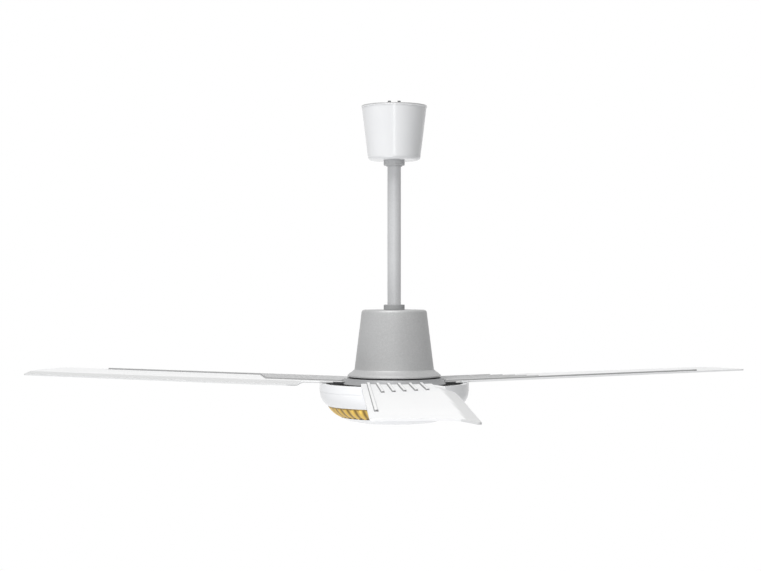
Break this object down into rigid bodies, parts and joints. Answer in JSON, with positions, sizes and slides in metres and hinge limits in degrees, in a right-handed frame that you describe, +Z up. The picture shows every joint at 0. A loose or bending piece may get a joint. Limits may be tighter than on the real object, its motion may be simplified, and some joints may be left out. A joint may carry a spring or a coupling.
{
  "type": "ceiling fan",
  "caption": "Ceiling fan with flat ribbed blades, a white bowl hub with a fluted gold ring, a silver motor cover, a downrod and a cup canopy over a hook roller.",
  "frame": {"origin": "centre of the hanger roller, where the ceiling hook carries the fan", "axes": "+Z up along the downrod, +X along the hanger bolt, one blade along -Y"},
  "size_m": [1.2594, 1.0973, 0.501],
  "materials": {
    "white_plastic": "gloss",
    "silver_paint": "satin",
    "rod_paint": "satin",
    "collar_plastic": "satin",
    "gold_trim": "satin",
    "zinc_steel": "brushed",
    "bearing_steel": "polished",
    "black_rubber": "matte",
    "cast_aluminium": "cast",
    "core_steel": "stacked sheet",
    "copper_wire": "enamelled",
    "black_plastic": "matte"
  },
  "bodies": {
    "hanger": {"hanger_roller": "black_rubber", "roller_bush": "zinc_steel"},
    "stem": {"hanger_clevis": "zinc_steel", "hanger_bolt": "zinc_steel", "hanger_nut": "zinc_steel", "rod_bolts": "zinc_steel", "rod_nuts": "zinc_steel", "split_pins": "zinc_steel", "downrod": "rod_paint", "terminal_bracket": "zinc_steel", "terminal_block": "black_plastic", "motor_shaft": "zinc_steel", "shaft_circlips": "bearing_steel", "stator_core": "core_steel", "stator_windings": "copper_wire", "capacitor_bracket": "zinc_steel", "capacitor": "black_plastic", "upper_bearing_inner": "bearing_steel", "lower_bearing_inner": "bearing_steel"},
    "rotor": {"rotor_top_shell": "silver_paint", "rotor_bottom_shell": "cast_aluminium", "rotor_ring": "core_steel", "shell_screws": "zinc_steel", "upper_bearing_outer": "bearing_steel", "lower_bearing_outer": "bearing_steel", "blade_1": "white_plastic", "blade_2": "white_plastic", "blade_3": "white_plastic", "blade_gaskets": "black_rubber", "blade_screws": "zinc_steel", "hub_cover": "white_plastic", "hub_cover_screws": "zinc_steel", "gold_ring": "gold_trim", "bottom_cap": "white_plastic"},
    "upper_balls": {"upper_bearing_balls": "bearing_steel"},
    "lower_balls": {"lower_bearing_balls": "bearing_steel"},
    "canopy": {"canopy": "white_plastic", "canopy_collar": "collar_plastic", "canopy_set_screw": "zinc_steel"},
    "motor_cover": {"motor_cover": "silver_paint", "motor_cover_collar": "collar_plastic", "motor_cover_set_screw": "zinc_steel"}
  },
  "joints": [
    {"name": "hanger_swing", "type": "hinge", "parent": "hanger", "child": "stem", "pos_m": [0, 0, 0], "axis": [1, 0, 0], "range_deg": [-5, 5]},
    {"name": "rotor_spin", "type": "hinge", "parent": "stem", "child": "rotor", "pos_m": [0, 0, -0.423], "axis": [0, 0, -1], "continuous": true},
    {"name": "upper_balls_roll", "type": "hinge", "parent": "stem", "child": "upper_balls", "pos_m": [0, 0, -0.4015], "axis": [0, 0, -1], "continuous": true},
    {"name": "lower_balls_roll", "type": "hinge", "parent": "stem", "child": "lower_balls", "pos_m": [0, 0, -0.4645], "axis": [0, 0, -1], "continuous": true},
    {"name": "canopy_slide", "type": "slide", "parent": "stem", "child": "canopy", "axis": [0, 0, -1], "range_m": [0, 0.1]},
    {"name": "motor_cover_slide", "type": "slide", "parent": "stem", "child": "motor_cover", "axis": [0, 0, 1], "range_m": [0, 0.1]}
  ],
  "couplings": [
    {"joint": "upper_balls_roll", "follows": "rotor_spin", "ratio": 0.62},
    {"joint": "lower_balls_roll", "follows": "rotor_spin", "ratio": 0.62}
  ]
}
